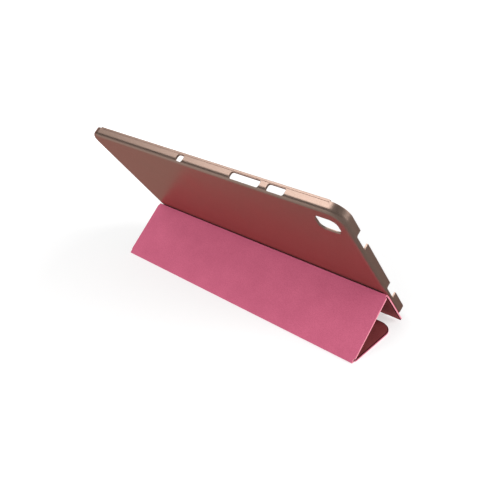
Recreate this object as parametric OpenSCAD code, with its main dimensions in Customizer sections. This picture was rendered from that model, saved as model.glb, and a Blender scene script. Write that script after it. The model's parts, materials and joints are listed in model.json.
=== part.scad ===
// Tri-fold tablet case: a hard back shell with a three-panel cover, standing on its own folded cover.
// X runs along the long side, Z is up, the table is Z = 0 and the back of the shell faces -Y.
// Inside the shell helpers, y runs up the back from its lower edge and z runs from the back to the screen.

/* [Shell] */
// Length of the shell along its long side
shell_l = 251; // [200:0.5:310]
// Width of the shell along its short side
shell_w = 161; // [130:0.5:215]
// Height of the long walls, from the back face to the top of the lip
long_wall_h = 8.5; // [7:0.1:12]
// How much lower the short walls and the corners are than the long walls
short_wall_drop = 0.9; // [0.3:0.1:2]
// Thickness of the walls
wall_t = 1.5; // [1:0.1:2.5]
// Thickness of the back plate
back_t = 1.3; // [1:0.1:2]
// Outer radius of the four corners, seen from the back
corner_r = 12; // [6:0.5:16]
// Radius of the rounded edge between the back and the walls
edge_r = 2; // [1:0.1:3]
// How far the retaining lip reaches in over the tablet
lip_w = 0.9; // [0.4:0.1:1.5]
// Thickness of the retaining lip
lip_t = 0.7; // [0.5:0.1:1.2]

/* [Cut-outs] */
// Length of the volume key cut-out
volume_l = 26; // [18:0.5:34]
// Distance of the volume key cut-out's centre from the right end
volume_end = 78.5; // [60:0.5:95]
// Length of the power key cut-out
power_l = 14.5; // [10:0.5:20]
// Distance of the power key cut-out's centre from the right end
power_end = 51.8; // [40:0.5:58]
// Length of the microphone notch
mic_l = 6.2; // [4:0.1:9]
// Distance of the microphone notch's centre from the right end
mic_end = 141.5; // [120:0.5:160]
// Height of the cut-outs in the upper long wall
key_h = 5.2; // [4:0.1:6]
// Height of the cut-outs' lower edge above the back face
key_z = 1.1; // [0.6:0.1:2]
// Corner radius of the cut-outs in the upper long wall
key_r = 1.6; // [0.5:0.1:1.8]
// Length of each loudspeaker notch in the short walls
speaker_l = 18; // [10:0.5:24]
// Distance of the upper loudspeaker notch's centre from the upper edge
speaker_top = 38.3; // [25:0.5:50]
// Distance of the lower loudspeaker notch's centre from the lower edge
speaker_low = 44.3; // [30:0.5:55]
// Height of the loudspeaker notches' floor above the back plate
speaker_rise = 1.7; // [0.5:0.1:3]
// Corner radius of the notches in the short walls
notch_r = 1.2; // [0.5:0.1:2]
// Length of the charging port notch in the left short wall
port_l = 13; // [9:0.5:18]
// Height of the charging port notch's floor above the back plate
port_rise = 0.7; // [0.3:0.1:2]
// Diameter of the earphone hole in the left short wall
jack_d = 5; // [4:0.1:6]
// Distance of the earphone hole from the upper edge
jack_top = 17; // [13:0.5:22]
// Height of the earphone hole's centre above the back plate
jack_rise = 3; // [2.2:0.1:3.2]
// Width of the camera window
window_w = 16.5; // [12:0.5:24]
// Height of the camera window
window_h = 15.5; // [12:0.5:24]
// Corner radius of the camera window
window_r = 4.5; // [2:0.1:6]
// Distance of the camera window's centre from the right end
window_end = 16.8; // [15:0.1:24]
// Distance of the camera window's centre from the upper edge
window_top = 19.3; // [16:0.1:26]
// Width of the bevel round the camera window
window_bevel = 0.8; // [0.3:0.1:1]

/* [Cover] */
// How far the cover reaches past each end of the shell
cover_overhang = 1; // [0:0.1:3]
// Share of the cover's reach in panel 1, which lies against the back
panel1_share = 0.301; // [0.27:0.001:0.34]
// Share of the cover's reach in panel 2, which is the strut
panel2_share = 0.339; // [0.31:0.001:0.39]
// How far the closed cover's free edge stops short of the upper wall
free_edge_gap = 0.5; // [0:0.1:4]
// Corner radius of the cover's free corners
free_corner_r = 12; // [6:0.5:16]
// Corner radius of panel 1 beside the lower fold
root_corner_r = 3; // [2:0.1:5]
// Thickness of the outer skin
skin_t = 0.5; // [0.3:0.05:0.8]
// Thickness of the stiffening boards
board_t = 0.8; // [0.5:0.05:1.2]
// Thickness of the lining
lining_t = 0.4; // [0.2:0.05:0.6]
// Width of the skin's turned edge round each board
turn_w = 2; // [1:0.1:4]

/* [Root of the cover] */
// Thickness of the bonding tape on the lower long wall
tape_t = 0.15; // [0.1:0.05:0.3]
// Width of the bonding tape
tape_w = 3; // [2:0.1:4]
// Thickness of the skived edge of the cover that is bonded to the wall
root_t = 0.3; // [0.2:0.05:0.5]
// How far the bonded root stops short of each corner of the shell
root_inset = 0.5; // [0:0.5:10]

/* [Magnets] */
// Diameter of the two wake magnets
wake_d = 10; // [6:0.5:14]
// Distance of the wake magnets' centres from the cover's right end
wake_end = 22; // [18:0.5:40]
// Spacing of the two wake magnets
wake_pitch = 16; // [12:0.5:24]
// Length of each closing magnet
closing_l = 30; // [15:0.5:40]
// Width of each closing magnet
closing_w = 5; // [3:0.5:8]
// Space between the wake magnets and the closing magnet beside them
closing_space = 6.5; // [1:0.5:12]
// Distance of the magnets' centres from the free edge
magnet_inset = 14; // [10:0.5:18]

/* [Stand] */
// Angle between the back of the shell and the table
lean = 50.3; // [46:0.1:54]

/* [Clearances] */
// Gap between pieces that pass or rest close to each other
gap = 0.3; // [0.2:0.05:0.5]
// Gap round a piece that is let into another
let_in = 0.1; // [0.05:0.05:0.2]

/* [Hidden] */
$fn = 96;
eps = 0.01;

// How far a cut runs past what it cuts, and how far the plate laps the rim
past = 1;
lap = 0.5;

short_wall_h = long_wall_h - short_wall_drop;
long_run = shell_l - 2 * corner_r;
short_run = shell_w - 2 * corner_r;
cover_l = shell_l + 2 * cover_overhang;
root_l = long_run - 2 * root_inset;
closing_x = cover_l / 2 - wake_end - wake_pitch - wake_d / 2 - closing_space - closing_l / 2;

cover_t = skin_t + board_t + lining_t;
half_t = cover_t / 2;
web_t = skin_t + lining_t;

// The cover's root axis is at mid height of the closed stack, off the lower long wall
hinge_out = tape_t + root_t + gap + web_t / 2;
fold_z = -(gap + half_t);
closed_z = long_wall_h + gap + half_t;
root_z = (fold_z + closed_z) / 2;
spine_w = root_z - fold_z;

// The three panels share what the closed cover has to reach
reach = shell_w - free_edge_gap + hinge_out;
panel1_w = panel1_share * reach;
panel2_w = panel2_share * reach;
panel3_w = reach - panel1_w - panel2_w;

// Height of the back's lower edge, so that the lower fold rests on the table
base_z = hinge_out * sin(lean) - fold_z * cos(lean) + half_t;
// Shift that puts the origin in the middle of the footprint's box
back_y = -(shell_w - edge_r) * cos(lean) + edge_r * sin(lean) - edge_r;
front_y = long_wall_h * sin(lean);
shift_y = -(back_y + front_y) / 2;

// [y, z] of a point given up the back and towards the screen
function on_back(up, out) = [
    shift_y - up * cos(lean) + out * sin(lean),
    base_z + up * sin(lean) + out * cos(lean)
];
root_axis = on_back(-hinge_out, root_z);
lower_axis = on_back(-hinge_out, fold_z);
apex_axis = on_back(panel1_w - hinge_out, fold_z);
strut_rise = apex_axis[1] - half_t;
strut_run = sqrt(panel2_w * panel2_w - strut_rise * strut_rise);
foot_axis = [apex_axis[0] - strut_run, half_t];

// Directions of the cover's links about X, and the bends between them
spine_turn = 270 - lean;
panel1_turn = 180 - lean;
panel2_turn = 180 + asin(strut_rise / panel2_w);
apex_bend = 180 - (panel2_turn - panel1_turn);
foot_bend = panel2_turn - 180;
// How far each board stops from a fold axis, so that two panels clear each other at the bend
apex_relief = half_t / tan(apex_bend / 2) + gap / sin(apex_bend);
foot_relief = half_t / tan(foot_bend / 2) + gap / sin(foot_bend);
lower_relief = half_t + gap;
spine_start = web_t / 2 + gap;
spine_end = spine_w - half_t - gap;

// A rectangle centred on the origin with round corners
module rounded_rect(w, h, r) {
    square([w - 2 * r, h], center = true);
    square([w, h - 2 * r], center = true);
    for (sx = [-1, 1], sy = [-1, 1])
        translate([sx * (w / 2 - r), sy * (h / 2 - r)]) circle(r);
}

// A rectangle from y0 to y1 with its own corner radius at each of the two long edges; 0 is sharp
module panel_outline(y0, y1, r0, r1, inset = 0) {
    half = cover_l / 2 - inset;
    low = y0 + inset;
    high = y1 - inset;
    difference() {
        translate([-half, low]) square([2 * half, high - low]);
        for (s = [-1, 1]) {
            if (r0 > inset) corner_cut(s * half, low, -s, 1, r0 - inset);
            if (r1 > inset) corner_cut(s * half, high, -s, -1, r1 - inset);
        }
    }
}

// What a corner of radius r takes away; sx and sy point into the outline
module corner_cut(x, y, sx, sy, r) {
    translate([x, y]) mirror([sx < 0 ? 1 : 0, 0]) mirror([0, sy < 0 ? 1 : 0])
        difference() {
            translate([-past, -past]) square([r + past, r + past]);
            translate([r, r]) circle(r);
        }
}

// Places a shell-frame shape in the leaning shell
module on_shell() {
    translate([0, shift_y, base_z]) rotate([180 - lean, 0, 0]) mirror([0, 0, 1]) children();
}

// Places a link of the cover on its fold axis; y runs along the link and z to its lining side
module on_axis(axis, turn) {
    translate([0, axis[0], axis[1]]) rotate([turn, 0, 0]) children();
}

// Section through the rim: x = 0 is the outer face, y = 0 is the back face
module rim_section(h) {
    foot = edge_r + 2 * lap;
    difference() {
        translate([-foot, 0]) square([foot, h]);
        translate([-foot - past, back_t]) square([foot + past - wall_t, h]);
        difference() {
            translate([-edge_r, -past]) square([edge_r + past, edge_r + past]);
            translate([-edge_r, edge_r]) circle(edge_r);
        }
    }
}

// Section through a long wall, with the lip that holds the tablet
module lip_section() {
    rim_section(long_wall_h);
    translate([-wall_t - lip_w, long_wall_h - lip_t]) square([wall_t + lip_w, lip_t]);
}

// Sweeps a rim section along X, centred, with its outer face to +Y
module straight_run(l) {
    rotate([90, 0, 90]) linear_extrude(l, center = true) children();
}

module rim() {
    mid = shell_w / 2;
    translate([0, mid, 0])
        for (turn = [0, 180]) {
            rotate([0, 0, turn]) translate([0, mid, 0]) straight_run(long_run) lip_section();
            rotate([0, 0, turn]) translate([shell_l / 2, 0, 0]) rotate([0, 0, -90])
                straight_run(short_run) rim_section(short_wall_h);
            for (sx = [-1, 1])
                rotate([0, 0, turn]) translate([sx * long_run / 2, short_run / 2, 0])
                    rotate([0, 0, sx > 0 ? 0 : 90]) rotate_extrude(angle = 90)
                        translate([corner_r, 0]) rim_section(short_wall_h);
        }
}

module back_plate() {
    inset = edge_r + lap;
    translate([0, shell_w / 2, 0]) linear_extrude(back_t)
        rounded_rect(shell_l - 2 * inset, shell_w - 2 * inset, corner_r - inset);
}

// A round-cornered slot through the upper long wall; from_end is measured from the right end
module key_cut(from_end, l) {
    translate([shell_l / 2 - from_end, shell_w + past, key_z + key_h / 2]) rotate([90, 0, 0])
        linear_extrude(wall_t + 2 * past) rounded_rect(l, key_h, key_r);
}

// An open-topped notch in a short wall; side is 1 for the right wall and -1 for the left
module wall_notch(side, y, l, z) {
    deep = short_wall_h - z + notch_r + past;
    translate([side * shell_l / 2, y, z + deep / 2]) rotate([90, 0, 90])
        linear_extrude(2 * (wall_t + past), center = true) rounded_rect(l, deep, notch_r);
}

// The camera window, with a bevel that flares towards the outside of the back
module window_cut() {
    flare = window_bevel;
    cx = window_w / 2 - window_r;
    cy = window_h / 2 - window_r;
    wide = window_r + flare;
    translate([shell_l / 2 - window_end, shell_w - window_top, 0]) {
        translate([0, 0, -past]) linear_extrude(back_t + 2 * past)
            rounded_rect(window_w, window_h, window_r);
        for (sx = [-1, 1], sy = [-1, 1])
            translate([sx * cx, sy * cy, -eps]) cylinder(h = flare, r1 = wide, r2 = window_r);
        translate([0, 0, -eps]) rotate([90, 0, 90]) linear_extrude(2 * cx, center = true)
            flare_section(cy + window_r);
        translate([0, 0, -eps]) rotate([90, 0, 0]) linear_extrude(2 * cy, center = true)
            flare_section(cx + window_r);
    }
}

module flare_section(half) {
    foot = half + window_bevel;
    polygon([[-foot, 0], [foot, 0], [half, window_bevel], [-half, window_bevel]]);
}

// Hard back shell that clips round the tablet
module back_shell() {
    color("#b98f80") on_shell() difference() {
        union() {
            rim();
            back_plate();
        }
        key_cut(volume_end, volume_l);
        key_cut(power_end, power_l);
        key_cut(mic_end, mic_l);
        for (side = [-1, 1]) {
            wall_notch(side, shell_w - speaker_top, speaker_l, back_t + speaker_rise);
            wall_notch(side, speaker_low, speaker_l, back_t + speaker_rise);
        }
        wall_notch(-1, shell_w / 2, port_l, back_t + port_rise);
        translate([-shell_l / 2, shell_w - jack_top, back_t + jack_rise]) rotate([0, 90, 0])
            cylinder(h = 2 * (wall_t + past), d = jack_d, center = true);
        window_cut();
    }
}

// Tape that bonds the cover's root to the middle of the lower long wall
module bond_tape() {
    color("#d8d2c4") on_shell()
        translate([-root_l / 2, -tape_t, root_z - tape_w / 2]) cube([root_l, tape_t, tape_w]);
}

// Skived edge of the cover: the bonded strip, a web and the bead that the spine turns on
module root_strip() {
    color("#9c4a66") on_shell() {
        translate([-root_l / 2, -tape_t - root_t, root_z - tape_w / 2]) cube([root_l, root_t, tape_w]);
        translate([-root_l / 2, -hinge_out, root_z - root_t / 2])
            cube([root_l, hinge_out - tape_t, root_t]);
        translate([0, -hinge_out, root_z]) rotate([0, 90, 0])
            cylinder(h = root_l, d = web_t, center = true);
    }
}

// One layer of the spine link, from z0 up to z0 + t
module spine_layer(z0, t) {
    on_axis(root_axis, spine_turn)
        translate([-root_l / 2, spine_start, z0]) cube([root_l, spine_end - spine_start, t]);
}

module spine_skin() {
    color("#c2617f") spine_layer(-web_t / 2, skin_t);
}

module spine_lining() {
    color("#6a2f2f") spine_layer(skin_t - web_t / 2, lining_t);
}

// Half of a fold: a bead on the axis and the web that joins it to the link before it.
// side is -1 for the skin half and 1 for the lining half; back_to is where the web meets the link.
// The lining's web rises far enough to lap half the thickness of a panel's lining.
module fold_half(l, back_to, side) {
    seam = skin_t - web_t / 2;
    layer = side < 0 ? skin_t : half_t - lining_t / 2 - seam;
    intersection() {
        rotate([0, 90, 0]) cylinder(h = l, r = half_t, center = true);
        translate([-l / 2, -half_t - past, side < 0 ? -half_t - past : seam])
            cube([l, cover_t + 2 * past, side < 0 ? half_t + past + seam : half_t + past]);
    }
    translate([-l / 2, -back_to, side < 0 ? seam - layer : seam]) cube([l, back_to, layer]);
}

module lower_fold(side) {
    on_axis(lower_axis, spine_turn) fold_half(root_l, spine_w - spine_end, side);
}

module lower_fold_skin() {
    color("#c2617f") lower_fold(-1);
}

module lower_fold_lining() {
    color("#6a2f2f") lower_fold(1);
}

// The skin of a panel: a thin plate with its edge turned up round the board
module panel_skin(y0, y1, r0, r1) {
    translate([0, 0, -half_t]) linear_extrude(skin_t) panel_outline(y0, y1, r0, r1);
    translate([0, 0, skin_t - half_t - eps]) linear_extrude(board_t + eps) difference() {
        panel_outline(y0, y1, r0, r1);
        panel_outline(y0, y1, r0, r1, turn_w);
    }
}

module panel_board(y0, y1, r0, r1) {
    translate([0, 0, skin_t - half_t]) linear_extrude(board_t)
        panel_outline(y0, y1, r0, r1, turn_w + let_in);
}

module panel_lining(y0, y1, r0, r1) {
    translate([0, 0, half_t - lining_t]) linear_extrude(lining_t) panel_outline(y0, y1, r0, r1);
}

module on_panel1() {
    on_axis(lower_axis, panel1_turn) children();
}

module on_panel2() {
    on_axis(apex_axis, panel2_turn) children();
}

module on_panel3() {
    on_axis(foot_axis, 0) children();
}

module panel1_skin() {
    color("#c2617f") on_panel1() panel_skin(lower_relief, panel1_w - apex_relief, root_corner_r, 0);
}

module panel1_board() {
    color("#8f8a80") on_panel1() panel_board(lower_relief, panel1_w - apex_relief, root_corner_r, 0);
}

module panel1_lining() {
    color("#6a2f2f") on_panel1() panel_lining(lower_relief, panel1_w - apex_relief, root_corner_r, 0);
}

module apex_fold_skin() {
    color("#c2617f") on_axis(apex_axis, panel1_turn) fold_half(cover_l, apex_relief, -1);
}

module apex_fold_lining() {
    color("#6a2f2f") on_axis(apex_axis, panel1_turn) fold_half(cover_l, apex_relief, 1);
}

module panel2_skin() {
    color("#c2617f") on_panel2() panel_skin(apex_relief, panel2_w - foot_relief, 0, 0);
}

module panel2_board() {
    color("#8f8a80") on_panel2() panel_board(apex_relief, panel2_w - foot_relief, 0, 0);
}

module panel2_lining() {
    color("#6a2f2f") on_panel2() panel_lining(apex_relief, panel2_w - foot_relief, 0, 0);
}

module foot_fold_skin() {
    color("#c2617f") on_axis(foot_axis, panel2_turn) fold_half(cover_l, foot_relief, -1);
}

module foot_fold_lining() {
    color("#6a2f2f") on_axis(foot_axis, panel2_turn) fold_half(cover_l, foot_relief, 1);
}

module panel3_skin() {
    color("#c2617f") on_panel3() panel_skin(foot_relief, panel3_w, 0, free_corner_r);
}

module panel3_lining() {
    color("#6a2f2f") on_panel3() panel_lining(foot_relief, panel3_w, 0, free_corner_r);
}

// Outlines of the magnets in panel 3, grown by extra
module wake_outline(extra) {
    for (i = [0, 1])
        translate([cover_l / 2 - wake_end - i * wake_pitch, panel3_w - magnet_inset])
            circle(d = wake_d + 2 * extra);
}

module closing_outline(extra) {
    for (side = [-1, 1])
        translate([side * closing_x - closing_l / 2 - extra, panel3_w - magnet_inset - closing_w / 2 - extra])
            square([closing_l + 2 * extra, closing_w + 2 * extra]);
}

// The magnets sit in holes through the board of panel 3
module panel3_board() {
    color("#8f8a80") on_panel3() translate([0, 0, skin_t - half_t]) linear_extrude(board_t) difference() {
        panel_outline(foot_relief, panel3_w, 0, free_corner_r, turn_w + let_in);
        wake_outline(let_in);
        closing_outline(let_in);
    }
}

module wake_magnets() {
    color("#9aa0a6") on_panel3() translate([0, 0, skin_t - half_t]) linear_extrude(board_t) wake_outline(0);
}

module closing_magnets() {
    color("#9aa0a6") on_panel3() translate([0, 0, skin_t - half_t]) linear_extrude(board_t) closing_outline(0);
}

back_shell();
bond_tape();
root_strip();
spine_skin();
spine_lining();
lower_fold_skin();
lower_fold_lining();
panel1_skin();
panel1_board();
panel1_lining();
apex_fold_skin();
apex_fold_lining();
panel2_skin();
panel2_board();
panel2_lining();
foot_fold_skin();
foot_fold_lining();
panel3_skin();
panel3_board();
panel3_lining();
wake_magnets();
closing_magnets();
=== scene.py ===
import json
import math

import bmesh
import bpy
import numpy as np
from mathutils import Matrix, Vector


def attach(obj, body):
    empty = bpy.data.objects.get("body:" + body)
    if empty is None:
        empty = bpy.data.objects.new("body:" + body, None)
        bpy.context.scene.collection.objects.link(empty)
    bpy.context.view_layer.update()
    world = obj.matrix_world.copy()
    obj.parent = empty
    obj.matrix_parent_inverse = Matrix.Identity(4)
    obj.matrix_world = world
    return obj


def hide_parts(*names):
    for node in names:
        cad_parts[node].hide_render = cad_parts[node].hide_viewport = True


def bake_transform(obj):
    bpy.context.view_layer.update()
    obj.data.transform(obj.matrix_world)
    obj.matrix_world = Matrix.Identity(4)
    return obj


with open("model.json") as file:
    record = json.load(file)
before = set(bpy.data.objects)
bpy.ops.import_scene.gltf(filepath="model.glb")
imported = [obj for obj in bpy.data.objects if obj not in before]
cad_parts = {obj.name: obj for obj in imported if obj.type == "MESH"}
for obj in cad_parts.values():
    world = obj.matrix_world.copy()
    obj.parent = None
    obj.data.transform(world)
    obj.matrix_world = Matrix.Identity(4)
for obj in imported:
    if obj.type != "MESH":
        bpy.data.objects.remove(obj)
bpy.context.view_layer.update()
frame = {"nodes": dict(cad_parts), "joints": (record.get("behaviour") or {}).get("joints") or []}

# A tri-fold tablet case, standing on its own folded cover. Lengths are millimetres until place() and
# inShell() turn them into metres in the frame; depths of bump and sizes of the studio are metres.
mm = 0.001

# what the picture looks at, in millimetres, and from where, in degrees
camera = {
    "target": (-0.5, 7.8, 35.1),
    "azimuth": 41.43,
    "elevation": 27.95,
    "roll": 0.29,
    "distance": 503.4,
    "focal": 42.69,
    "sensor": 36,
    "nearest": 0.01,
}


def addCamera(s):
    # spot = target + distance along the direction of the two angles; right and up are level and square to
    # that direction, then turned about it by the roll
    az, el, roll = (math.radians(s[k]) for k in ("azimuth", "elevation", "roll"))
    back = Vector((math.sin(az) * math.cos(el), -math.cos(az) * math.cos(el), math.sin(el)))
    right = Vector((0, 0, 1)).cross(back).normalized()
    up = back.cross(right)
    xAxis = right * math.cos(roll) + up * math.sin(roll)
    yAxis = up * math.cos(roll) - right * math.sin(roll)
    turn = Matrix((xAxis, yAxis, back)).transposed().to_4x4()
    spot = (Vector(s["target"]) + back * s["distance"]) * mm
    data = bpy.data.cameras.new("camera")
    data.lens = s["focal"]
    data.sensor_width = s["sensor"]
    data.clip_start = s["nearest"]
    item = bpy.data.objects.new("camera", data)
    item.matrix_world = Matrix.Translation(spot) @ turn
    bpy.context.scene.collection.objects.link(item)
    bpy.context.scene.camera = item


addCamera(camera)
bpy.context.scene.view_settings.view_transform = "Standard"
print("camera in place")


# the cover's four fold lines, seen from the side as (y, z)
axisOf = {j["name"]: np.array(j["pos_m"][1:]) / mm for j in frame["joints"]}
rootAxis, lowerAxis = axisOf["cover_swing"], axisOf["panel1_turn"]
apexAxis, footAxis = axisOf["panel2_fold"], axisOf["panel3_fold"]


def unit(v):
    # a direction of length one: the vector over its own length
    return v / np.linalg.norm(v)


def span(node, direction):
    # the least and the greatest distance of a node's points along a direction
    points = np.array([v.co for v in frame["nodes"][node].data.vertices]) / mm
    along = points @ np.array(direction, float)
    return along.min(), along.max()


class Link:
    # one stiff length of the cover, which starts at a fold's axis
    def __init__(self, start, along):
        # facing is the length's direction turned a quarter, towards the lining
        self.start = start
        self.along = unit(along)
        self.facing = np.array([-self.along[1], self.along[0]])

    def place(self, points):
        # (x, y, z) goes to x, start + y * along + z * facing, in metres
        yz = self.start + points[:, 1:2] * self.along + points[:, 2:3] * self.facing
        return np.column_stack([points[:, 0], yz]) * mm


# the stiff lengths of the cover, from the bonded root to the flap, and the sizes they share
upBack = unit(apexAxis - lowerAxis)  # up the back of the shell
toScreen = np.array([upBack[1], -upBack[0]])  # from the back towards the screen
rootLink = Link(rootAxis, -upBack)
spineLink = Link(rootAxis, lowerAxis - rootAxis)
panel1Link = Link(lowerAxis, apexAxis - lowerAxis)
panel2Link = Link(apexAxis, footAxis - apexAxis)
panel3Link = Link(footAxis, np.array([1.0, 0.0]))

coverHalf = span("panel2_skin", (1, 0, 0))[1]
rootHalf = span("spine_skin", (1, 0, 0))[1]
skinTop = span("panel3_board", (0, 0, 1))[0]
boardTop = span("panel3_board", (0, 0, 1))[1]
coverThick = span("panel3_lining", (0, 0, 1))[1]
halfThick = coverThick / 2


def reach(node, link):
    # where a node starts and ends along a link: its least and greatest distance, less the link's own start
    low, high = span(node, (0, *link.along))
    base = float(link.start @ link.along)
    return low - base, high - base


meshing = {
    "merge": 2e-6,  # metres within which doubles become one point
    "sliver": 1e-6,
    "smoothBelow": 35,  # degrees between faces that still shade as one
    "cutSmoothBelow": 30,
}


def makePiece(name, points, faces, material, body=None, edge=None):
    # points and faces become a closed mesh: doubles merged, slivers dissolved, faces turned outwards
    mesh = bpy.data.meshes.new(name)
    mesh.from_pydata(points.tolist(), [], faces)
    if edge is not None:
        mesh.attributes.new("edge", "FLOAT", "POINT").data.foreach_set("value", edge.astype(np.float32))
    work = bmesh.new()
    work.from_mesh(mesh)
    bmesh.ops.remove_doubles(work, verts=work.verts, dist=meshing["merge"])
    bmesh.ops.dissolve_degenerate(work, dist=meshing["sliver"], edges=work.edges)
    bmesh.ops.recalc_face_normals(work, faces=work.faces)
    work.to_mesh(mesh)
    work.free()
    mesh.shade_smooth()
    mesh.set_sharp_from_angle(angle=math.radians(meshing["smoothBelow"]))
    piece = bpy.data.objects.new(name, mesh)
    bpy.context.scene.collection.objects.link(piece)
    if material:
        mesh.materials.append(material)
    if body:
        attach(piece, body)
    return piece


def stackRings(rings):
    # point number = ring number * points in a ring + place in the ring; each quad joins two neighbours to
    # the same two of the next ring, and the first and the last ring are capped
    count, size = len(rings), len(rings[0])
    points = np.concatenate(rings)
    ring = np.arange(count - 1)[:, None] * size
    step = np.arange(size)[None, :]
    after = (step + 1) % size
    quads = np.stack([ring + step, ring + after, ring + size + after, ring + size + step], axis=-1)
    faces = quads.reshape(-1, 4).tolist()
    faces.append(list(range(size))[::-1])
    faces.append(list(range((count - 1) * size, count * size)))
    return points, faces


def roundOutline(half, low, high, radii, inset, stopsX, stopsY, arcSteps):
    # a rectangle -half..half by low..high, drawn inset from its edge: four straight sides with points at
    # the stops from each end, and at each corner a quarter circle of radius less the inset round the
    # corner's own centre; kinds is 1 on the low side, 2 on the high side and 0 elsewhere
    sharp = np.array([max(r, inset) for r in radii])
    left = np.array([max(r - inset, 0.0) for r in radii])
    turn = np.linspace(0, np.pi / 2, arcSteps)
    sideX = np.concatenate([-half + stopsX, (half - stopsX)[::-1]])
    sideY = np.concatenate([low + stopsY, (high - stopsY)[::-1]])
    lowX = np.clip(sideX, -half + sharp[0], half - sharp[0])
    highX = np.clip(sideX, -half + sharp[1], half - sharp[1])[::-1]
    rightY = np.clip(sideY, low + sharp[0], high - sharp[1])
    xs, ys = [], []
    xs.append(lowX)
    ys.append(np.full_like(lowX, low + inset))
    xs.append(half - sharp[0] + left[0] * np.cos(turn - np.pi / 2))
    ys.append(low + sharp[0] + left[0] * np.sin(turn - np.pi / 2))
    xs.append(np.full_like(rightY, half - inset))
    ys.append(rightY)
    xs.append(half - sharp[1] + left[1] * np.cos(turn))
    ys.append(high - sharp[1] + left[1] * np.sin(turn))
    xs.append(highX)
    ys.append(np.full_like(highX, high - inset))
    xs.append(-half + sharp[1] + left[1] * np.cos(turn + np.pi / 2))
    ys.append(high - sharp[1] + left[1] * np.sin(turn + np.pi / 2))
    xs.append(np.full_like(rightY, -half + inset))
    ys.append(rightY[::-1])
    xs.append(-half + sharp[0] + left[0] * np.cos(turn + np.pi))
    ys.append(low + sharp[0] + left[0] * np.sin(turn + np.pi))
    kinds = np.concatenate([np.full(len(part), kind) for part, kind in zip(xs, (1, 0, 0, 0, 2, 0, 0, 0))])
    return np.concatenate(xs), np.concatenate(ys), kinds


def newMaterial(name):
    # an empty material with one principled shader, and what is needed to wire it
    material = bpy.data.materials.new(name)
    material.use_nodes = True
    nodes = material.node_tree.nodes
    return material, nodes, material.node_tree.links, nodes["Principled BSDF"]


def noiseAt(nodes, links, scale, detail=3.0, rough=0.5):
    # noise of so many grains a metre on the piece's own coordinates
    where = nodes.new("ShaderNodeTexCoord")
    noise = nodes.new("ShaderNodeTexNoise")
    noise.inputs["Scale"].default_value = scale
    noise.inputs["Detail"].default_value = detail
    noise.inputs["Roughness"].default_value = rough
    links.new(where.outputs["Object"], noise.inputs["Vector"])
    return noise


def spread(nodes, links, source, low, high, fromLow=0.3, fromHigh=0.7):
    # value = low + (high - low) * (source - fromLow) / (fromHigh - fromLow), held between low and high
    change = nodes.new("ShaderNodeMapRange")
    change.inputs["From Min"].default_value = fromLow
    change.inputs["From Max"].default_value = fromHigh
    change.inputs["To Min"].default_value = low
    change.inputs["To Max"].default_value = high
    links.new(source, change.inputs["Value"])
    return change.outputs["Result"]


def mixColours(nodes, links, share, first, second):
    # colour = first * (1 - share) + second * share, where each is a colour or another node's colour
    mix = nodes.new("ShaderNodeMix")
    mix.data_type = "RGBA"
    for socket, colour in ((mix.inputs["A"], first), (mix.inputs["B"], second)):
        if isinstance(colour, tuple):
            socket.default_value = (*colour, 1)
        else:
            links.new(colour, socket)
    links.new(share, mix.inputs["Factor"])
    return mix.outputs["Result"]


def addBump(nodes, links, shader, layers):
    # each layer is (height, strength, depth in metres), laid one on another
    last = None
    for height, strength, depth in layers:
        bump = nodes.new("ShaderNodeBump")
        bump.inputs["Strength"].default_value = strength
        bump.inputs["Distance"].default_value = depth
        links.new(height, bump.inputs["Height"])
        if last:
            links.new(last, bump.inputs["Normal"])
        last = bump.outputs["Normal"]
    links.new(last, shader.inputs["Normal"])


roseGold = {
    "base": (0.45, 0.308, 0.245),
    "flake": (0.58, 0.43, 0.36),
    "grazing": (0.76, 0.30, 0.28),
    "metallic": 0.92,
    "roughness": (0.285, 0.345),
    "coat": 0.08,
    "coatRoughness": 0.3,
    "flakeGrain": 2600,
    "cloudGrain": 40,
    "peelGrain": 900,
    "peelBump": (0.02, 2e-5),
}


def roseGoldPaint(s):
    # satin metallic paint: colour = base to flake by fine noise, roughness by broad noise, and a faint
    # orange peel that bends the gloss
    material, nodes, links, shader = newMaterial("roseGoldPaint")
    flakes = noiseAt(nodes, links, s["flakeGrain"], 2.0)
    clouds = noiseAt(nodes, links, s["cloudGrain"], 0.0)
    peel = noiseAt(nodes, links, s["peelGrain"], 1.0)
    share = spread(nodes, links, flakes.outputs["Fac"], 0.0, 1.0, 0.35, 0.75)
    links.new(mixColours(nodes, links, share, s["base"], s["flake"]), shader.inputs["Base Color"])
    links.new(spread(nodes, links, clouds.outputs["Fac"], *s["roughness"], 0, 1), shader.inputs["Roughness"])
    addBump(nodes, links, shader, [(peel.outputs["Fac"], *s["peelBump"])])
    shader.inputs["Metallic"].default_value = s["metallic"]
    shader.inputs["Specular Tint"].default_value = (*s["grazing"], 1)
    shader.inputs["Coat Weight"].default_value = s["coat"]
    shader.inputs["Coat Roughness"].default_value = s["coatRoughness"]
    return material


pinkHide = {
    "base": (0.60, 0.130, 0.222),
    "deep": (0.54, 0.112, 0.196),
    # painted highlight, where light catches the cut edge
    "edgeHighlight": (0.80, 0.33, 0.38),
    "valley": (0.40, 0.060, 0.120),  # between the pebbles of the grain
    "valleyShare": 0.35,
    "roughness": (0.50, 0.60),
    "gloss": 0.35,
    "pebbleGrain": 1300,
    "poreGrain": 3600,
    "cloudGrain": 45,
    "waveGrain": 230,
    "waveBump": (0.05, 2e-4),  # strength and depth
    "pebbleBump": (0.6, 1.6e-4),
    "poreBump": (0.35, 8e-5),
}


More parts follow.
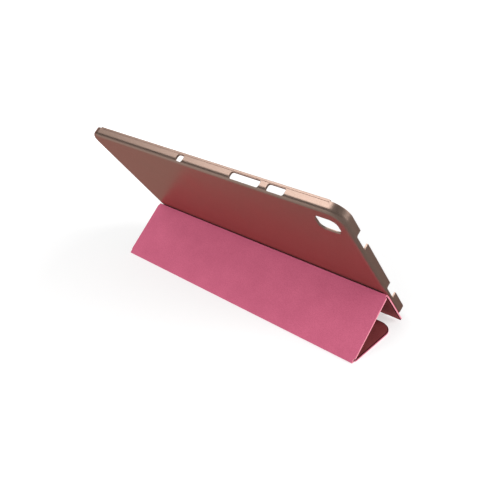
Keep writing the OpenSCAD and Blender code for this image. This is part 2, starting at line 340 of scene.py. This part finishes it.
def pinkLeather(s):
    # smooth imitation leather: colour = mottled base, darker between the pebbles, with a painted highlight
    # along the cut edge; height = slow waves + pebbles + fine pores
    material, nodes, links, shader = newMaterial("pinkLeather")
    where = nodes.new("ShaderNodeTexCoord")
    grain = nodes.new("ShaderNodeTexVoronoi")
    grain.feature = "SMOOTH_F1"
    grain.inputs["Scale"].default_value = s["pebbleGrain"]
    links.new(where.outputs["Object"], grain.inputs["Vector"])
    pores = noiseAt(nodes, links, s["poreGrain"], 3.0)
    clouds = noiseAt(nodes, links, s["cloudGrain"], 4.0)
    waves = noiseAt(nodes, links, s["waveGrain"], 2.0)
    share = spread(nodes, links, clouds.outputs["Fac"], 0, 1)
    mottle = mixColours(nodes, links, share, s["base"], s["deep"])
    valleys = spread(nodes, links, grain.outputs["Distance"], s["valleyShare"], 0.0, 0.15, 0.55)
    grained = mixColours(nodes, links, valleys, mottle, s["valley"])
    # the edge attribute lays the painted highlight along the cut edge
    rim = nodes.new("ShaderNodeAttribute")
    rim.attribute_name = "edge"
    edged = mixColours(nodes, links, rim.outputs["Fac"], grained, s["edgeHighlight"])
    links.new(edged, shader.inputs["Base Color"])
    links.new(spread(nodes, links, pores.outputs["Fac"], *s["roughness"]), shader.inputs["Roughness"])
    addBump(nodes, links, shader, [
        (waves.outputs["Fac"], *s["waveBump"]),
        (grain.outputs["Distance"], *s["pebbleBump"]),
        (pores.outputs["Fac"], *s["poreBump"]),
    ])
    shader.inputs["Specular IOR Level"].default_value = s["gloss"]
    return material


redNap = {
    "base": (0.215, 0.038, 0.042),
    "pile": (0.27, 0.058, 0.060),
    "tip": (0.40, 0.12, 0.115),
    # painted shade, darkest where the lining rolls over its edge
    "rim": (0.045, 0.008, 0.010),
    "roughness": (0.82, 0.95),
    "gloss": 0.06,
    "sheen": 0.02,
    "sheenRoughness": 0.4,
    "sheenTint": (0.85, 0.55, 0.55),
    "pileGrain": 1700,
    "pileStretch": (1.0, 2.6, 2.6),
    "brushGrain": 70,
    "brushBump": (0.1, 2e-4),  # strength and depth
    "pileBump": (0.7, 1.6e-4),
}


def redMicrofibre(s):
    # brushed microfibre: colour = base to pile by broad noise, paler at the tips of a short streaky pile and
    # darkened by painted shade towards its rolled edge; height = brush marks + pile
    material, nodes, links, shader = newMaterial("redMicrofibre")
    where = nodes.new("ShaderNodeTexCoord")
    stretch = nodes.new("ShaderNodeMapping")
    stretch.inputs["Scale"].default_value = s["pileStretch"]
    links.new(where.outputs["Object"], stretch.inputs["Vector"])
    pile = nodes.new("ShaderNodeTexNoise")
    pile.inputs["Scale"].default_value = s["pileGrain"]
    pile.inputs["Detail"].default_value = 4
    links.new(stretch.outputs["Vector"], pile.inputs["Vector"])
    brushed = noiseAt(nodes, links, s["brushGrain"], 5.0, 0.6)
    share = spread(nodes, links, brushed.outputs["Fac"], 0, 1)
    streaks = mixColours(nodes, links, share, s["base"], s["pile"])
    # the edge attribute lays painted shade towards the lining's edge
    rim = nodes.new("ShaderNodeAttribute")
    rim.attribute_name = "edge"
    tips = spread(nodes, links, pile.outputs["Fac"], 0.0, 0.7, 0.5, 0.8)
    furred = mixColours(nodes, links, tips, streaks, s["tip"])
    edged = mixColours(nodes, links, rim.outputs["Fac"], furred, s["rim"])
    links.new(edged, shader.inputs["Base Color"])
    links.new(spread(nodes, links, pile.outputs["Fac"], *s["roughness"]), shader.inputs["Roughness"])
    addBump(nodes, links, shader, [
        (brushed.outputs["Fac"], *s["brushBump"]),
        (pile.outputs["Fac"], *s["pileBump"]),
    ])
    shader.inputs["Sheen Weight"].default_value = s["sheen"]
    shader.inputs["Sheen Roughness"].default_value = s["sheenRoughness"]
    shader.inputs["Sheen Tint"].default_value = (*s["sheenTint"], 1)
    shader.inputs["Specular IOR Level"].default_value = s["gloss"]
    return material


pressedBoard = {
    "light": (0.33, 0.31, 0.28),
    "dark": (0.22, 0.21, 0.19),
    "roughness": 0.9,
    "fibreGrain": 900,
    "fibreBump": (0.4, 5e-5),
}


def greyBoard(s):
    # pressed board: colour = light to dark by fibrous noise, which is also its height
    material, nodes, links, shader = newMaterial("greyBoard")
    fibres = noiseAt(nodes, links, s["fibreGrain"], 6.0, 0.7)
    share = spread(nodes, links, fibres.outputs["Fac"], 0, 1)
    links.new(mixColours(nodes, links, share, s["light"], s["dark"]), shader.inputs["Base Color"])
    shader.inputs["Roughness"].default_value = s["roughness"]
    addBump(nodes, links, shader, [(fibres.outputs["Fac"], *s["fibreBump"])])
    return material


nickel = {"colour": (0.55, 0.56, 0.58), "roughness": (0.2, 0.35), "hazeGrain": 400}


def nickelPlate(s):
    # one metal colour whose roughness follows a fine haze
    material, nodes, links, shader = newMaterial("nickelPlate")
    haze = noiseAt(nodes, links, s["hazeGrain"], 4.0)
    links.new(spread(nodes, links, haze.outputs["Fac"], *s["roughness"]), shader.inputs["Roughness"])
    shader.inputs["Base Color"].default_value = (*s["colour"], 1)
    shader.inputs["Metallic"].default_value = 1.0
    return material


tapeFilm = {"light": (0.70, 0.67, 0.60), "dark": (0.62, 0.58, 0.51), "roughness": 0.6, "webGrain": 1200}


def creamTape(s):
    # colour = light to dark by the tape's fine web
    material, nodes, links, shader = newMaterial("creamTape")
    web = noiseAt(nodes, links, s["webGrain"], 3.0)
    share = spread(nodes, links, web.outputs["Fac"], 0, 1)
    links.new(mixColours(nodes, links, share, s["light"], s["dark"]), shader.inputs["Base Color"])
    shader.inputs["Roughness"].default_value = s["roughness"]
    return material


paint = roseGoldPaint(roseGold)
leather = pinkLeather(pinkHide)
microfibre = redMicrofibre(redNap)
board, magnet, tape = greyBoard(pressedBoard), nickelPlate(nickel), creamTape(tapeFilm)
print("finishes made")


shell = {
    "cornerR": 12.0,
    "edgeR": 3.2,  # round edge between the back and the walls
    "wall": 1.5,
    "plate": 1.3,
    "shortDrop": 0.9,  # how much lower the short walls and the corners are
    "lipReach": 0.9,
    "lipThick": 0.7,
    "lipStep": 0.06,  # the outer face steps in at each lip, under a fine groove
    "lipLine": 0.34,
    "lipRamp": 0.5,  # length over which the lip ends before a corner
    "topRound": 0.22,
    "innerRound": 0.4,
    "lineTop": 1.48,  # the groove's two edges, down from the rim, and the height of its slanted flanks
    "lineBottom": 2.0,
    "lineFlank": 0.12,
    "lipBevel": 0.1,
    "hold": 0.3,  # a ring this far past each round keeps it crisp
    "flatFrom": 1.2,  # where the flat back begins, past its round edge
    "apart": 0.05,  # keeps two rings apart where there is no lip
    "sideStops": (0.0, 3.0, 30.0),
    "cornerSteps": 18,
    "cutBevel": 0.3,
    "cutPast": 1.0,  # how far the cutting blocks stand out of the walls
    "cutSteps": 8,
}

# in the upper long wall: centre along x from the right end, and length
wallCuts = {
    "volume": (78.5, 26.0),
    "power": (51.8, 14.5),
    "microphone": (141.5, 6.2),
}
keyCut = {"height": 5.2, "floor": 1.1, "radius": 1.6}
notch = {"radius": 1.2, "speakerLength": 18.0, "speakerRise": 1.7, "fromTop": 38.3, "fromLow": 44.3}
port = {"length": 13.0, "rise": 0.7}
jack = {"diameter": 5.0, "fromTop": 17.0, "rise": 3.0}
lensWindow = {
    "width": 16.5,
    "height": 15.5,
    "radius": 4.5,
    "fromRight": 16.8,
    "fromTop": 19.3,
    "bevel": 0.8,
    "past": 0.5,
}

shellHalf = span("back_shell", (1, 0, 0))[1]
shellLow, shellTop = span("back_shell", (0, *upBack))
shellBack, shellFront = span("back_shell", (0, *toScreen))
shellWide = shellTop - shellLow
longWall = shellFront - shellBack


def inShell(points):
    # x along the shell, y up its back and z towards the screen, put in the frame
    yz = (shellLow + points[:, 1:2]) * upBack + (shellBack + points[:, 2:3]) * toScreen
    return np.column_stack([points[:, 0], yz]) * mm


def rimProfile(s, height, lip):
    # (inset, height) along the rim's section, from the flat of the back round its edge, up the outside, over
    # the rim and down inside: quarter circles of each radius joined by straight lines
    turn = np.linspace(0, np.pi / 2, 12)
    corner = np.linspace(0, np.pi / 2, 5)
    inner = s["wall"] + lip
    r, t, f = s["edgeR"], s["topRound"], s["innerRound"]
    under = height - s["lipThick"]
    backEdge = np.column_stack([r - r * np.sin(turn), r - r * np.cos(turn)])
    step, line = s["lipStep"] * (lip > 0), s["lipLine"] * (lip > 0)
    topEdge = np.column_stack([step + t - t * np.cos(corner), height - t + t * np.sin(corner)])
    lipEdge = np.column_stack([inner - t + t * np.sin(corner), height - t + t * np.cos(corner)])
    floorEdge = np.column_stack([s["wall"] + f - f * np.cos(corner), s["plate"] + f - f * np.sin(corner)])
    low, high, flank = height - s["lineBottom"], height - s["lineTop"], s["lineFlank"]
    bevel, flat = s["lipBevel"], r + s["flatFrom"]
    parts = [
        [[flat, 0], [r + s["hold"], 0]],
        backEdge,
        [[0, r + s["hold"]], [0, low], [line, low + flank], [line, high - flank], [step, high]],
        topEdge,
        lipEdge,
        [[inner, under + bevel], [inner - bevel * (lip > 0), under]],
        [[s["wall"], under - s["apart"] * (lip == 0)]],
        floorEdge,
        [[s["wall"] + f + s["hold"], s["plate"]], [flat, s["plate"]]],
    ]
    return np.concatenate([np.array(part, float) for part in parts])


def shellRings(s):
    # each point of the section is one ring: plain + share * (lip - plain), where the share rises smoothly
    # from 0 at the corners to 1 along the long sides
    ramp = np.linspace(0, s["lipRamp"], 6)
    lipSection = rimProfile(s, longWall, s["lipReach"])
    plainSection = rimProfile(s, longWall - s["shortDrop"], 0.0)
    stopsX = s["cornerR"] + np.concatenate([ramp, s["sideStops"][1:]])
    stopsY = s["cornerR"] + np.array(s["sideStops"])
    radii, steps = (s["cornerR"], s["cornerR"]), s["cornerSteps"]
    x0, _, kinds = roundOutline(shellHalf, 0, shellWide, radii, 0, stopsX, stopsY, steps)
    share = np.clip((shellHalf - s["cornerR"] - np.abs(x0)) / s["lipRamp"], 0, 1) * (kinds > 0)
    share = share * share * (3 - 2 * share)
    rings = []
    for (lipIn, lipZ), (plainIn, plainZ) in zip(lipSection, plainSection):
        xa, ya, _ = roundOutline(shellHalf, 0, shellWide, radii, lipIn, stopsX, stopsY, steps)
        xb, yb, _ = roundOutline(shellHalf, 0, shellWide, radii, plainIn, stopsX, stopsY, steps)
        x = xb + share * (xa - xb)
        y = yb + share * (ya - yb)
        rings.append(inShell(np.column_stack([x, y, plainZ + share * (lipZ - plainZ)])))
    return rings


def cutRings(width, height, radius, levels, toShell):
    # a round-cornered block lofted through (depth, growth) levels: at each depth the outline is wider by the
    # growth all round, which leaves a bevel round its cut
    rings = []
    for depth, grow in levels:
        half, tall, r = width / 2 + grow, height / 2 + grow, radius + grow
        x, y, _ = roundOutline(half, -tall, tall, (r, r), 0, np.array([r]), np.array([r]), shell["cutSteps"])
        rings.append(inShell(toShell(x, y, np.full_like(x, depth))))
    return rings


def shellCutters(s):
    # every cut-out of the shell as one mesh of separate closed blocks, each in its own wall's directions
    b, past = s["cutBevel"], s["cutPast"]
    through = [(-past, b), (0, b), (b, 0), (s["wall"] + past, 0)]
    blocks = []
    for fromEnd, length in wallCuts.values():
        midX, midZ = shellHalf - fromEnd, keyCut["floor"] + keyCut["height"] / 2

        def intoWall(x, y, depth, midX=midX, midZ=midZ):
            # x along the wall, y up it, and depth down from its outer face
            return np.column_stack([midX + x, shellWide - depth, midZ + y])

        blocks.append(cutRings(length, keyCut["height"], keyCut["radius"], through, intoWall))
    shortWall = longWall - s["shortDrop"]

    def endCut(side, midY, length, floor, height, radius):
        # a block through one short wall, standing on its floor and reaching in from the wall's outer face
        def intoEnd(x, y, depth):
            # x along the wall, y up it, and depth in from the end
            return np.column_stack([side * (shellHalf - depth), midY + x, floor + height / 2 + y])
        blocks.append(cutRings(length, height, radius, through, intoEnd))

    speakerFloor = s["plate"] + notch["speakerRise"]
    for side in (-1, 1):
        for midY in (shellWide - notch["fromTop"], notch["fromLow"]):
            tall = shortWall - speakerFloor + notch["radius"] + past
            endCut(side, midY, notch["speakerLength"], speakerFloor, tall, notch["radius"])
    portFloor = s["plate"] + port["rise"]
    portTall = shortWall - portFloor + notch["radius"] + past
    endCut(-1, shellWide / 2, port["length"], portFloor, portTall, notch["radius"])
    hole, holeR = jack["diameter"], jack["diameter"] / 2
    endCut(-1, shellWide - jack["fromTop"], hole, s["plate"] + jack["rise"] - holeR, hole, holeR)

    def intoBack(x, y, depth):
        # x and y from the window's middle, and depth in from the back
        midX, midY = shellHalf - lensWindow["fromRight"], shellWide - lensWindow["fromTop"]
        return np.column_stack([midX + x, midY + y, depth])

    bevel, out = lensWindow["bevel"], lensWindow["past"]
    flare = [(-out, bevel + out), (bevel, 0), (s["plate"] + past, 0)]
    blocks.append(cutRings(lensWindow["width"], lensWindow["height"], lensWindow["radius"], flare, intoBack))
    points, faces, start = [], [], 0
    for block in blocks:
        some, joined = stackRings(block)
        points.append(some)
        faces += [[start + i for i in face] for face in joined]
        start += len(some)
    return makePiece("cutters", np.concatenate(points), faces, None)


def buildShell(s):
    # the shell is its stacked rings less the cutting blocks, which are then removed
    points, faces = stackRings(shellRings(s))
    piece = makePiece("backShell", points, faces, paint)
    cutters = shellCutters(s)
    cut = piece.modifiers.new("cuts", "BOOLEAN")
    cut.operation = "DIFFERENCE"
    cut.solver = "EXACT"
    cut.object = cutters
    bpy.context.view_layer.update()
    graph = bpy.context.evaluated_depsgraph_get()
    mesh = bpy.data.meshes.new_from_object(piece.evaluated_get(graph))
    piece.modifiers.clear()
    piece.data = mesh
    mesh.shade_smooth()
    mesh.set_sharp_from_angle(angle=math.radians(meshing["cutSmoothBelow"]))
    bpy.data.objects.remove(cutters)
    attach(piece, "shell")
    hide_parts("back_shell")


buildShell(shell)
print("back shell built")


panel = {
    "web": 0.45,  # from a fold's axis to its faces
    "wideWeb": 0.75,  # from the axis to the skin round the outside of the apex and the foot folds
    "seam": 0.05,  # where skin and lining meet in a fold
    "slope": 1.3,  # length over which a panel thins to its fold
    "edgeRound": 0.4,
    "turnWidth": 2.0,  # skin turned up round the board
    "liningInset": 0.14,
    "liningRound": 0.28,
    "shadeWidth": 1.1,  # width of the painted shade along the lining's rolled edge
    "freeR": 12.0,
    "rootR": 3.0,
    "smallR": 1.3,  # corners where two panels meet
    "stops": (0, 0.15, 0.3, 0.5, 0.7, 0.9, 1.1, 1.3, 1.6, 5.0),  # points along a side, from each corner
    "cornerSteps": 12,
    "skinInsets": (1.5, 1.3, 1.1, 0.9, 0.7, 0.55, 0.4, 0.3, 0.2, 0.12, 0.05, 0.0),
    "liningInsets": (0.0, 0.03, 0.08, 0.15, 0.22, 0.3, 0.5, 0.7, 0.8, 0.9, 1.0, 1.1, 1.2, 1.3, 1.6),
    "highlightWidth": 0.25,  # how far the painted highlight on the cut edge shows on the outer face, and how strongly
    "highlightShare": 0.6,
    "edgeMiddle": 0.2,  # a ring this far from the middle of the thickness, towards the skin
    "grooveAt": 0.95,  # pressed line inside the border: place, half width and depth
    "grooveWidth": 0.16,
    "grooveDepth": 0.07,
    "shadeFade": 1.15,  # strength of the painted shade at the lining's very edge, held to 1
}


def easeDown(distance, length):
    # 1 - t * t * (3 - 2 t), where t is distance / length: 1 at no distance and 0 at the length
    t = np.clip(distance / length, 0, 1)
    return 1 - t * t * (3 - 2 * t)


def roundDown(distance, radius):
    # 1 - the root of (1 - (1 - t) squared), where t is distance / radius: a quarter ellipse from 1 to 0
    t = np.clip(distance / radius, 0, 1)
    return 1 - np.sqrt(1 - (1 - t) ** 2)


def edgeDrop(s, y, inset, kinds, low, high, webs, radius):
    # drop from a panel's face: the greater of a quarter round at its free edges and, at a folded edge, a
    # smooth slope down to the fold's web
    free = (kinds == 0) | ((kinds == 1) & (webs[0] is None)) | ((kinds == 2) & (webs[1] is None))
    drop = np.where(free, roundDown(inset, radius), 0.0) * (halfThick - s["web"])
    if webs[0] is not None:
        drop = np.maximum(drop, easeDown(y - low, s["slope"]) * (halfThick - webs[0]))
    if webs[1] is not None:
        drop = np.maximum(drop, easeDown(high - y, s["slope"]) * (halfThick - webs[1]))
    return drop


def panelRing(s, low, high, radii, inset):
    # a panel's rounded rectangle, drawn inset from its edge
    stops = np.array(s["stops"])
    return roundOutline(coverHalf, low, high, radii, inset, stops, stops, s["cornerSteps"])


def buildSkin(s, name, body, link, node, radii, webs, paintedEdgeLight):
    # one ring for each inset at z = drop - half the thickness, from the middle of the outer face to its
    # edge, then up the turned edge, over its rim and down to the board's bed
    low, high = reach(node, link)
    rings, edge = [], []
    for inset in s["skinInsets"]:
        x, y, kinds = panelRing(s, low, high, radii, inset)
        drop = edgeDrop(s, y, inset, kinds, low, high, webs, s["edgeRound"])
        rings.append(link.place(np.column_stack([x, y, drop - halfThick])))
        # painted highlight along the cut edge, fading inwards over its width
        near = np.clip(1 - inset / s["highlightWidth"], 0, 1) * s["highlightShare"] * paintedEdgeLight
        edge.append(np.where(kinds == 0, near, 0))
    rimTop = boardTop - halfThick
    bed = skinTop - halfThick
    turned = s["turnWidth"]
    # the side of the turned edge takes the full painted highlight, its top and the bed none
    for inset, z, cut in ((0, -s["edgeMiddle"], 1), (0, rimTop, 1), (turned, rimTop, 0), (turned, bed, 0)):
        x, y, kinds = panelRing(s, low, high, radii, inset)
        rings.append(link.place(np.column_stack([x, y, np.full_like(x, z)])))
        edge.append(np.full(len(x), float(cut * paintedEdgeLight)) * (kinds == 0))
    points, faces = stackRings(rings)
    piece = makePiece(name, points, faces, leather, body, np.concatenate(edge))
    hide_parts(node)


def buildLining(s, name, body, link, node, radii, webs):
    # one ring on the glued face, then one for each inset at z = half the thickness - drop - groove, where
    # the groove is a bell curve of its depth round its place inside the border
    low, high = reach(node, link)
    floor = boardTop - halfThick
    rings, edge = [], []
    x, y, _ = panelRing(s, low, high, radii, s["liningInset"])
    rings.append(link.place(np.column_stack([x, y, np.full_like(x, floor)])))
    # painted shade in full on the glued face
    edge.append(np.ones(len(x)))
    for inset in s["liningInsets"]:
        x, y, kinds = panelRing(s, low, high, radii, s["liningInset"] + inset)
        drop = edgeDrop(s, y, inset, kinds, low, high, webs, s["liningRound"])
        free = kinds == 0
        bell = np.exp(-(((inset - s["grooveAt"]) / s["grooveWidth"]) ** 2))
        z = halfThick - drop - s["grooveDepth"] * bell * free
        rings.append(link.place(np.column_stack([x, y, np.maximum(z, floor)])))
        # painted shade, darkest at the lining's edge and fading across its border
        edge.append(np.clip(s["shadeFade"] - inset / s["shadeWidth"], 0, 1) * free)
    points, faces = stackRings(rings)
    piece = makePiece(name, points, faces, microfibre, body, np.concatenate(edge))
    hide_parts(node)


thin, wide, small = panel["web"], panel["wideWeb"], panel["smallR"]
# name, link, corner radii and skin webs at its start and its end, how strong the painted highlight on its
# cut edge is
panels = (
    ("panel1", panel1Link, (panel["rootR"], small), (thin, wide), 0.6),
    ("panel2", panel2Link, (small, small), (wide, wide), 0.8),
    ("panel3", panel3Link, (small, panel["freeR"]), (wide, None), 0.15),
)
for name, link, radii, webs, paintedEdgeLight in panels:
    liningWebs = tuple(None if web is None else thin for web in webs)
    buildSkin(panel, name + "Skin", name, link, name + "_skin", radii, webs, paintedEdgeLight)
    buildLining(panel, name + "Lining", name, link, name + "_lining", radii, liningWebs)
print("cover panels built")


fold = {
    "lap": 0.7,  # how far a fold runs into each panel
    "crease": 0.25,  # radius inside a crease
    "endInset": 0.9,
    "rootReach": 0.85,
    "arcSteps": 9,
    "endBand": 0.2,  # band of cut edge at each end, and its share of the painted edge light: highlight on skin, shade on lining
    "skinHighlight": 0.6,
    "liningShade": 0.9,
    "liningLap": 0.01,
    "blendWidth": 0.02,  # least half width of a band across the fold, worked out in buildFold and not used
}


def bendPath(s, axis, first, second, firstLength, secondLength, offset):
    # a line at one offset from two links that meet at an axis: centre + radius * (cos, sin) of evenly spaced
    # angles, which is an arc round the axis outside the bend and a small fillet inside it
    backAlong, onAlong = -first.along, second.along
    inwards = unit(backAlong + onAlong)
    halfAngle = math.acos(np.clip(backAlong @ onAlong, -1, 1)) / 2
    side = np.sign(offset) if offset else 1.0
    inside = side * (first.facing @ inwards) > 0
    depth = abs(offset)
    if inside:
        radius = s["crease"]
        centre = axis + inwards * (depth + radius) / math.sin(halfAngle)
        start, end = -side * first.facing, -side * second.facing
    else:
        radius, centre = depth, axis
        start, end = side * first.facing, side * second.facing
    a0 = math.atan2(start[1], start[0])
    sweep = (math.atan2(end[1], end[0]) - a0 + math.pi) % (2 * math.pi) - math.pi
    angles = a0 + sweep * np.linspace(0, 1, s["arcSteps"])
    arc = centre + radius * np.column_stack([np.cos(angles), np.sin(angles)])
    firstEnd = axis + backAlong * firstLength + first.facing * offset
    secondEnd = axis + onAlong * secondLength + second.facing * offset
    return np.concatenate([[firstEnd], arc, [secondEnd]])


def buildFold(s, name, axis, first, second, lengths, offsets, half, material, slot, node, sudden):
    # the strip between two offsets, carried along x from -half to half; a width of offset * the slant of the
    # first link across the fold is worked out, but the strip is baked in place and no body turns it
    lower = bendPath(s, axis, first, second, *lengths, offsets[0])
    upper = bendPath(s, axis, first, second, *lengths, offsets[1])
    section = np.concatenate([lower, upper[::-1]])
    band = s["endBand"]
    edges = np.array([-half, -half + band, half - band, half])
    rings = [np.column_stack([np.full(len(section), x), section]) * mm for x in edges]
    points, faces = stackRings(rings)
    # the cut ends carry the painted edge light: a highlight on the skin, shade on the lining
    share = s["skinHighlight"] if slot == "cover_skin" else s["liningShade"]
    paintedEdgeLight = np.repeat([1.0, 0.0, 0.0, 1.0], len(section)) * share
    piece = makePiece(name, points, faces, material, None, paintedEdgeLight)
    across = unit(second.along + first.along)
    width = s["blendWidth"]
    if not sudden:
        width += abs(offsets[0]) * abs(first.facing @ across)
    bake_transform(piece)
    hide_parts(node)


def buildBothLayers(s, name, axis, first, second, lengths, half, nodes, sudden, skinWeb):
    # the skin fills from its web to the seam, and the lining from its own web to just past the seam
    skinOffsets = (-skinWeb, panel["seam"])
    liningOffsets = (panel["web"], panel["seam"] - s["liningLap"])
    buildFold(s, name + "Skin", axis, first, second, lengths, skinOffsets, half, leather,
              "cover_skin", nodes[0], False)
    buildFold(s, name + "Lining", axis, first, second, lengths, liningOffsets, half, microfibre,
              "cover_lining", nodes[1], sudden)


def gapAtStart(node, link):
    # from the link's axis to the node's start: the least distance that reach gives
    return reach(node, link)[0]


def gapAtEnd(node, link, axis):
    # from the node's end to the next axis: the link's whole length less the node's far end
    return np.linalg.norm(axis - link.start) - reach(node, link)[1]


lap = fold["lap"]
buildBothLayers(
    fold, "apexFold", apexAxis, panel1Link, panel2Link,
    (gapAtEnd("panel1_lining", panel1Link, apexAxis) + lap, gapAtStart("panel2_lining", panel2Link) + lap),
    coverHalf - fold["endInset"], ("apex_fold_skin", "apex_fold_lining"), True, wide)
buildBothLayers(
    fold, "footFold", footAxis, panel2Link, panel3Link,
    (gapAtEnd("panel2_lining", panel2Link, footAxis) + lap, gapAtStart("panel3_lining", panel3Link) + lap),
    coverHalf - fold["endInset"], ("foot_fold_skin", "foot_fold_lining"), True, wide)
spineMiddle = np.linalg.norm(lowerAxis - rootAxis) / 2
buildBothLayers(
    fold, "lowerFold", lowerAxis, spineLink, panel1Link,
    (spineMiddle, gapAtStart("panel1_lining", panel1Link) + lap),
    rootHalf, ("lower_fold_skin", "lower_fold_lining"), False, thin)
buildBothLayers(
    fold, "rootFold", rootAxis, rootLink, spineLink,
    (fold["rootReach"], spineMiddle), rootHalf, ("spine_skin", "spine_lining"), False, thin)
print("folds built")


def finishNode(node, material):
    # a hidden piece keeps its mesh from the frame and gets one finish
    mesh = frame["nodes"][node].data
    mesh.materials.clear()
    mesh.materials.append(material)


for node in ("panel1_board", "panel2_board", "panel3_board"):
    finishNode(node, board)
for node in ("wake_magnets", "closing_magnets"):
    finishNode(node, magnet)
finishNode("bond_tape", tape)
finishNode("root_strip", leather)
print("kept pieces finished")


studio = {
    "floorSize": 6.0,
    "floorDrop": 0.05,
    "floorGlow": 0.72,  # light the table gives off
    "floorDiffuse": (0.16, 0.50),  # share of the lamps it throws back, to the piece and to the eye
    "floorMirrored": (0.33, 0.02),  # how bright the table is in a gloss, from its left to its right
    "mirroredFrom": (-0.1, 0.16),
    "seen": (0.58, 1.0),  # glow of the table to the eye, near the piece and away from it
    "seenFrom": (0.18, 0.5),
    "around": 0.35,
    "mirroredLow": 0.10,  # what a gloss sees of the room, away from and at the middle of the big window
    "mirroredHigh": 2.8,
    "mirroredBehind": 0.9,  # the room's back wall, which the tray's inside reflects
    "behindFrom": (0.05, 0.5),
    "windowAt": (-0.45, -0.25, 0.86),
    "windowEdge": 0.875,
    "windowCurve": 1.6,
    "lampDistance": 1.5,
    "lampSize": 1.1,
    "lampAim": 0.05,
    "lamps": {  # direction and power
        "overhead": ((-0.30, -0.45, 0.84), 5),
        "front": ((0.05, -0.90, 0.42), 13),
        "side": ((0.90, 0.36, 0.26), 24),
    },
}


def addFloor(s):
    # a square table: to the eye its glow rises with distance from the piece, in a gloss it falls from left
    # to right, and it throws back a share of the lamps
    half = s["floorSize"] / 2
    mesh = bpy.data.meshes.new("floor")
    z = -s["floorDrop"] * mm
    corners = [(-half, -half, z), (half, -half, z), (half, half, z), (-half, half, z)]
    mesh.from_pydata(corners, [], [(0, 1, 2, 3)])
    floor = bpy.data.objects.new("floor", mesh)
    bpy.context.scene.collection.objects.link(floor)
    material, nodes, links, shader = newMaterial("paleFloor")
    shader.inputs["Roughness"].default_value = 1.0
    shader.inputs["Specular IOR Level"].default_value = 0.0
    shader.inputs["Emission Color"].default_value = (1, 1, 1, 1)
    ray = nodes.new("ShaderNodeLightPath")
    toPiece, toEye = ((share,) * 3 for share in s["floorDiffuse"])
    thrown = mixColours(nodes, links, ray.outputs["Is Camera Ray"], toPiece, toEye)
    links.new(thrown, shader.inputs["Base Color"])
    where = nodes.new("ShaderNodeTexCoord")
    parts = nodes.new("ShaderNodeSeparateXYZ")
    links.new(where.outputs["Object"], parts.inputs["Vector"])
    mirrored = spread(nodes, links, parts.outputs["X"], *s["floorMirrored"], *s["mirroredFrom"])
    glow = nodes.new("ShaderNodeMix")
    glow.inputs["A"].default_value = s["floorGlow"]
    links.new(mirrored, glow.inputs["B"])
    links.new(ray.outputs["Is Glossy Ray"], glow.inputs["Factor"])
    away = nodes.new("ShaderNodeVectorMath")
    away.operation = "LENGTH"
    links.new(where.outputs["Object"], away.inputs[0])
    seen = nodes.new("ShaderNodeMix")
    links.new(ray.outputs["Is Camera Ray"], seen.inputs["Factor"])
    links.new(glow.outputs["Result"], seen.inputs["A"])
    rising = spread(nodes, links, away.outputs["Value"], *s["seen"], *s["seenFrom"])
    links.new(rising, seen.inputs["B"])
    links.new(seen.outputs["Result"], shader.inputs["Emission Strength"])
    material.cycles.emission_sampling = "NONE"
    mesh.materials.append(material)


def softbox(s, name, towards, power):
    # a soft round lamp at distance * direction from the piece, which leaves the gloss to the room
    data = bpy.data.lights.new(name, "AREA")
    data.shape = "DISK"
    data.size = s["lampSize"]
    data.energy = power
    item = bpy.data.objects.new(name, data)
    way = Vector(towards).normalized()
    item.location = way * s["lampDistance"] + Vector((0, 0, s["lampAim"]))
    item.rotation_euler = way.to_track_quat("Z", "Y").to_euler()
    item.visible_glossy = False
    bpy.context.scene.collection.objects.link(item)


def addWorld(s):
    # white to the eye and evenly dim to cloth; a gloss sees low + (high - low) * closeness ** curve, a broad
    # window that fades out all round, and a paler back wall
    world = bpy.data.worlds.new("studio")
    bpy.context.scene.world = world
    world.use_nodes = True
    nodes, links = world.node_tree.nodes, world.node_tree.links
    back = nodes["Background"]
    back.inputs["Color"].default_value = (1, 1, 1, 1)
    where = nodes.new("ShaderNodeTexCoord")
    closeness = nodes.new("ShaderNodeVectorMath")
    closeness.operation = "DOT_PRODUCT"
    closeness.inputs[1].default_value = Vector(s["windowAt"]).normalized()
    links.new(where.outputs["Generated"], closeness.inputs[0])
    fade = nodes.new("ShaderNodeMapRange")
    fade.inputs["From Min"].default_value = s["windowEdge"]
    fade.inputs["From Max"].default_value = 1.0
    links.new(closeness.outputs["Value"], fade.inputs["Value"])
    curve = nodes.new("ShaderNodeMath")
    curve.operation = "POWER"
    curve.inputs[1].default_value = s["windowCurve"]
    links.new(fade.outputs["Result"], curve.inputs[0])
    mirrored = nodes.new("ShaderNodeMapRange")
    mirrored.inputs["To Min"].default_value = s["mirroredLow"]
    mirrored.inputs["To Max"].default_value = s["mirroredHigh"]
    links.new(curve.outputs["Value"], mirrored.inputs["Value"])
    parts = nodes.new("ShaderNodeSeparateXYZ")
    links.new(where.outputs["Generated"], parts.inputs["Vector"])
    behind = spread(nodes, links, parts.outputs["Y"], 0, s["mirroredBehind"], *s["behindFrom"])
    both = nodes.new("ShaderNodeMath")
    links.new(mirrored.outputs["Result"], both.inputs[0])
    links.new(behind, both.inputs[1])
    ray = nodes.new("ShaderNodeLightPath")
    gloss = nodes.new("ShaderNodeMix")
    gloss.inputs["A"].default_value = s["around"]
    links.new(both.outputs["Value"], gloss.inputs["B"])
    links.new(ray.outputs["Is Glossy Ray"], gloss.inputs["Factor"])
    seen = nodes.new("ShaderNodeMix")
    seen.inputs["B"].default_value = 1.0
    links.new(gloss.outputs["Result"], seen.inputs["A"])
    links.new(ray.outputs["Is Camera Ray"], seen.inputs["Factor"])
    links.new(seen.outputs["Result"], back.inputs["Strength"])
    world.cycles.sampling_method = "NONE"


addFloor(studio)
addWorld(studio)
for name, (towards, power) in studio["lamps"].items():
    softbox(studio, name, towards, power)
print("studio lit")
